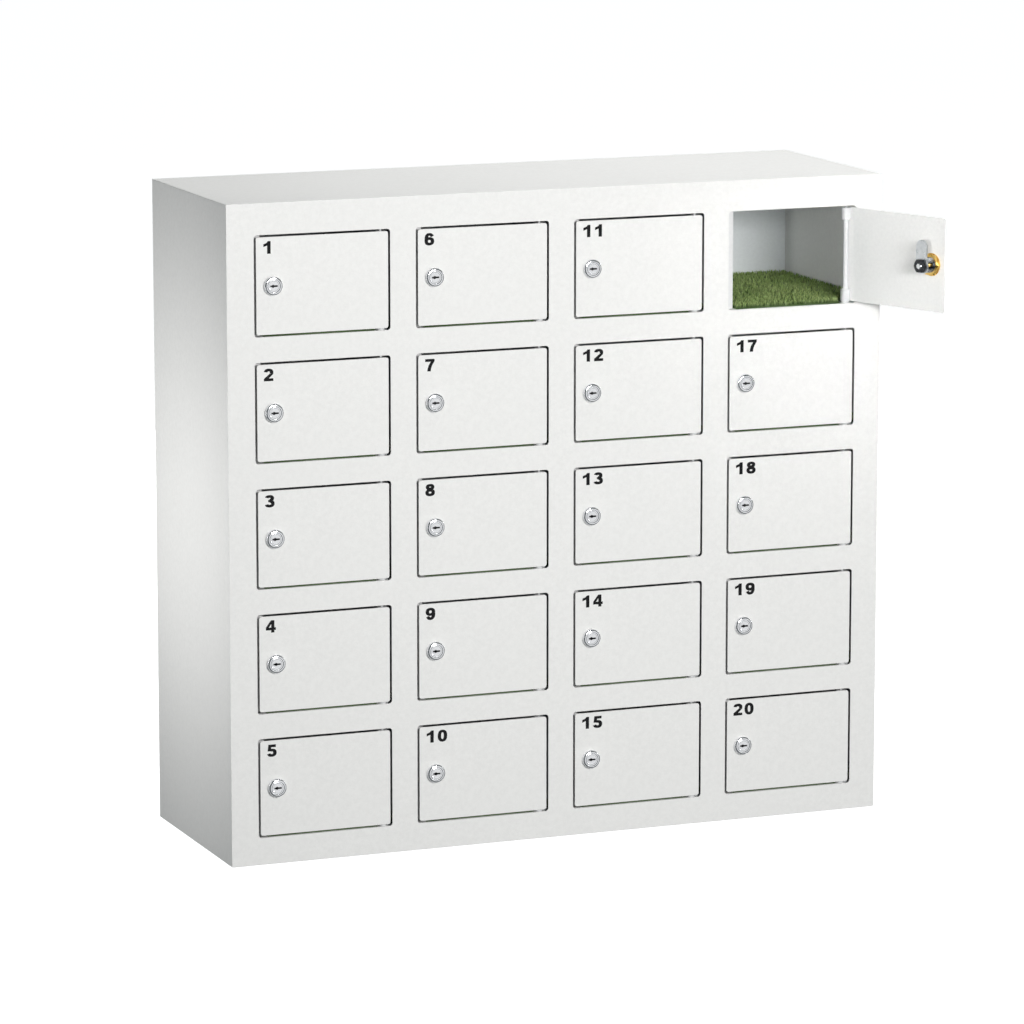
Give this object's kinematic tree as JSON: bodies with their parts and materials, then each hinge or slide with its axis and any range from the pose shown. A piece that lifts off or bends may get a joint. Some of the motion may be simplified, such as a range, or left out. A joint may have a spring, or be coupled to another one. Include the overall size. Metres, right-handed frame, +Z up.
{
  "type": "compartment locker",
  "caption": "Steel cabinet of small lockable compartments behind hinged doors with cam locks, each floor lined with a grass mat.",
  "frame": {"origin": "middle of the cabinet's base, halfway between its sides and between its front and back faces", "axes": "+X to the right seen from the front, +Y from front to back, +Z up"},
  "size_m": [0.9324, 0.448, 0.855],
  "materials": {
    "paint": "light grey powder coat with a fine texture",
    "white_paint": "smooth white coating",
    "chrome": "bright chrome plate",
    "zinc": "bright zinc plate",
    "yellow_zinc": "yellow passivated zinc plate",
    "black_steel": "black oxide",
    "grass": "cut pile of green plastic blades"
  },
  "bodies": {
    "cabinet": {"front_stiles": "paint", "front_rails": "paint", "top_panel": "paint", "bottom_panel": "paint", "left_side": "paint", "right_side": "paint", "back_panel": "paint", "divider_1": "paint", "divider_2": "paint", "divider_3": "paint", "shelves": "paint", "strike_plates": "paint", "upper_hinge_bushes": "zinc", "lower_hinge_bushes": "white_paint", "grass_mats": "grass"},
    "door_01": {"door_01": "paint"},
    "lock_01": {"lock_01": "chrome"},
    "door_02": {"door_02": "paint"},
    "lock_02": {"lock_02": "chrome"},
    "door_03": {"door_03": "paint"},
    "lock_03": {"lock_03": "chrome"},
    "door_04": {"door_04": "paint"},
    "lock_04": {"lock_04": "chrome"},
    "door_05": {"door_05": "paint"},
    "lock_05": {"lock_05": "chrome"},
    "door_06": {"door_06": "paint"},
    "lock_06": {"lock_06": "chrome"},
    "door_07": {"door_07": "paint"},
    "lock_07": {"lock_07": "chrome"},
    "door_08": {"door_08": "paint"},
    "lock_08": {"lock_08": "chrome"},
    "door_09": {"door_09": "paint"},
    "lock_09": {"lock_09": "chrome"},
    "door_10": {"door_10": "paint"},
    "lock_10": {"lock_10": "chrome"},
    "door_11": {"door_11": "paint"},
    "lock_11": {"lock_11": "chrome"},
    "door_12": {"door_12": "paint"},
    "lock_12": {"lock_12": "chrome"},
    "door_13": {"door_13": "paint"},
    "lock_13": {"lock_13": "chrome"},
    "door_14": {"door_14": "paint"},
    "lock_14": {"lock_14": "chrome"},
    "door_15": {"door_15": "paint"},
    "lock_15": {"lock_15": "chrome"},
    "door_16": {"door_16": "paint", "hinge_rod_16": "white_paint", "lock_housing_16": "chrome", "lock_nut_16": "yellow_zinc"},
    "lock_16": {"key_plug_16": "chrome", "lock_cam_16": "zinc", "cam_nut_16": "black_steel"},
    "door_17": {"door_17": "paint"},
    "lock_17": {"lock_17": "chrome"},
    "door_18": {"door_18": "paint"},
    "lock_18": {"lock_18": "chrome"},
    "door_19": {"door_19": "paint"},
    "lock_19": {"lock_19": "chrome"},
    "door_20": {"door_20": "paint"},
    "lock_20": {"lock_20": "chrome"}
  },
  "joints": [
    {"name": "door_01_swing", "type": "hinge", "parent": "cabinet", "child": "door_01", "pos_m": [-0.24658, -0.143, 0.7496], "axis": [0, 0, 1], "range_deg": [0, 114]},
    {"name": "lock_01_turn", "type": "hinge", "parent": "door_01", "child": "lock_01", "pos_m": [-0.3935, -0.15, 0.7496], "axis": [0, -1, 0], "range_deg": [0, 90]},
    {"name": "door_02_swing", "type": "hinge", "parent": "cabinet", "child": "door_02", "pos_m": [-0.24658, -0.143, 0.5873], "axis": [0, 0, 1], "range_deg": [0, 114]},
    {"name": "lock_02_turn", "type": "hinge", "parent": "door_02", "child": "lock_02", "pos_m": [-0.3935, -0.15, 0.5873], "axis": [0, -1, 0], "range_deg": [0, 90]},
    {"name": "door_03_swing", "type": "hinge", "parent": "cabinet", "child": "door_03", "pos_m": [-0.24658, -0.143, 0.425], "axis": [0, 0, 1], "range_deg": [0, 114]},
    {"name": "lock_03_turn", "type": "hinge", "parent": "door_03", "child": "lock_03", "pos_m": [-0.3935, -0.15, 0.425], "axis": [0, -1, 0], "range_deg": [0, 90]},
    {"name": "door_04_swing", "type": "hinge", "parent": "cabinet", "child": "door_04", "pos_m": [-0.24658, -0.143, 0.2627], "axis": [0, 0, 1], "range_deg": [0, 114]},
    {"name": "lock_04_turn", "type": "hinge", "parent": "door_04", "child": "lock_04", "pos_m": [-0.3935, -0.15, 0.2627], "axis": [0, -1, 0], "range_deg": [0, 90]},
    {"name": "door_05_swing", "type": "hinge", "parent": "cabinet", "child": "door_05", "pos_m": [-0.24658, -0.143, 0.1004], "axis": [0, 0, 1], "range_deg": [0, 114]},
    {"name": "lock_05_turn", "type": "hinge", "parent": "door_05", "child": "lock_05", "pos_m": [-0.3935, -0.15, 0.1004], "axis": [0, -1, 0], "range_deg": [0, 90]},
    {"name": "door_06_swing", "type": "hinge", "parent": "cabinet", "child": "door_06", "pos_m": [-0.02858, -0.143, 0.7496], "axis": [0, 0, 1], "range_deg": [0, 114]},
    {"name": "lock_06_turn", "type": "hinge", "parent": "door_06", "child": "lock_06", "pos_m": [-0.1755, -0.15, 0.7496], "axis": [0, -1, 0], "range_deg": [0, 90]},
    {"name": "door_07_swing", "type": "hinge", "parent": "cabinet", "child": "door_07", "pos_m": [-0.02858, -0.143, 0.5873], "axis": [0, 0, 1], "range_deg": [0, 114]},
    {"name": "lock_07_turn", "type": "hinge", "parent": "door_07", "child": "lock_07", "pos_m": [-0.1755, -0.15, 0.5873], "axis": [0, -1, 0], "range_deg": [0, 90]},
    {"name": "door_08_swing", "type": "hinge", "parent": "cabinet", "child": "door_08", "pos_m": [-0.02858, -0.143, 0.425], "axis": [0, 0, 1], "range_deg": [0, 114]},
    {"name": "lock_08_turn", "type": "hinge", "parent": "door_08", "child": "lock_08", "pos_m": [-0.1755, -0.15, 0.425], "axis": [0, -1, 0], "range_deg": [0, 90]},
    {"name": "door_09_swing", "type": "hinge", "parent": "cabinet", "child": "door_09", "pos_m": [-0.02858, -0.143, 0.2627], "axis": [0, 0, 1], "range_deg": [0, 114]},
    {"name": "lock_09_turn", "type": "hinge", "parent": "door_09", "child": "lock_09", "pos_m": [-0.1755, -0.15, 0.2627], "axis": [0, -1, 0], "range_deg": [0, 90]},
    {"name": "door_10_swing", "type": "hinge", "parent": "cabinet", "child": "door_10", "pos_m": [-0.02858, -0.143, 0.1004], "axis": [0, 0, 1], "range_deg": [0, 114]},
    {"name": "lock_10_turn", "type": "hinge", "parent": "door_10", "child": "lock_10", "pos_m": [-0.1755, -0.15, 0.1004], "axis": [0, -1, 0], "range_deg": [0, 90]},
    {"name": "door_11_swing", "type": "hinge", "parent": "cabinet", "child": "door_11", "pos_m": [0.18942, -0.143, 0.7496], "axis": [0, 0, 1], "range_deg": [0, 114]},
    {"name": "lock_11_turn", "type": "hinge", "parent": "door_11", "child": "lock_11", "pos_m": [0.0425, -0.15, 0.7496], "axis": [0, -1, 0], "range_deg": [0, 90]},
    {"name": "door_12_swing", "type": "hinge", "parent": "cabinet", "child": "door_12", "pos_m": [0.18942, -0.143, 0.5873], "axis": [0, 0, 1], "range_deg": [0, 114]},
    {"name": "lock_12_turn", "type": "hinge", "parent": "door_12", "child": "lock_12", "pos_m": [0.0425, -0.15, 0.5873], "axis": [0, -1, 0], "range_deg": [0, 90]},
    {"name": "door_13_swing", "type": "hinge", "parent": "cabinet", "child": "door_13", "pos_m": [0.18942, -0.143, 0.425], "axis": [0, 0, 1], "range_deg": [0, 114]},
    {"name": "lock_13_turn", "type": "hinge", "parent": "door_13", "child": "lock_13", "pos_m": [0.0425, -0.15, 0.425], "axis": [0, -1, 0], "range_deg": [0, 90]},
    {"name": "door_14_swing", "type": "hinge", "parent": "cabinet", "child": "door_14", "pos_m": [0.18942, -0.143, 0.2627], "axis": [0, 0, 1], "range_deg": [0, 114]},
    {"name": "lock_14_turn", "type": "hinge", "parent": "door_14", "child": "lock_14", "pos_m": [0.0425, -0.15, 0.2627], "axis": [0, -1, 0], "range_deg": [0, 90]},
    {"name": "door_15_swing", "type": "hinge", "parent": "cabinet", "child": "door_15", "pos_m": [0.18942, -0.143, 0.1004], "axis": [0, 0, 1], "range_deg": [0, 114]},
    {"name": "lock_15_turn", "type": "hinge", "parent": "door_15", "child": "lock_15", "pos_m": [0.0425, -0.15, 0.1004], "axis": [0, -1, 0], "range_deg": [0, 90]},
    {"name": "door_16_swing", "type": "hinge", "parent": "cabinet", "child": "door_16", "pos_m": [0.40742, -0.143, 0.7496], "axis": [0, 0, 1], "range_deg": [-112, 2]},
    {"name": "lock_16_turn", "type": "hinge", "parent": "door_16", "child": "lock_16", "pos_m": [0.46894, -0.2766, 0.7496], "axis": [0.9272, 0.3746, 0], "range_deg": [0, 90]},
    {"name": "door_17_swing", "type": "hinge", "parent": "cabinet", "child": "door_17", "pos_m": [0.40742, -0.143, 0.5873], "axis": [0, 0, 1], "range_deg": [0, 114]},
    {"name": "lock_17_turn", "type": "hinge", "parent": "door_17", "child": "lock_17", "pos_m": [0.2605, -0.15, 0.5873], "axis": [0, -1, 0], "range_deg": [0, 90]},
    {"name": "door_18_swing", "type": "hinge", "parent": "cabinet", "child": "door_18", "pos_m": [0.40742, -0.143, 0.425], "axis": [0, 0, 1], "range_deg": [0, 114]},
    {"name": "lock_18_turn", "type": "hinge", "parent": "door_18", "child": "lock_18", "pos_m": [0.2605, -0.15, 0.425], "axis": [0, -1, 0], "range_deg": [0, 90]},
    {"name": "door_19_swing", "type": "hinge", "parent": "cabinet", "child": "door_19", "pos_m": [0.40742, -0.143, 0.2627], "axis": [0, 0, 1], "range_deg": [0, 114]},
    {"name": "lock_19_turn", "type": "hinge", "parent": "door_19", "child": "lock_19", "pos_m": [0.2605, -0.15, 0.2627], "axis": [0, -1, 0], "range_deg": [0, 90]},
    {"name": "door_20_swing", "type": "hinge", "parent": "cabinet", "child": "door_20", "pos_m": [0.40742, -0.143, 0.1004], "axis": [0, 0, 1], "range_deg": [0, 114]},
    {"name": "lock_20_turn", "type": "hinge", "parent": "door_20", "child": "lock_20", "pos_m": [0.2605, -0.15, 0.1004], "axis": [0, -1, 0], "range_deg": [0, 90]}
  ]
}
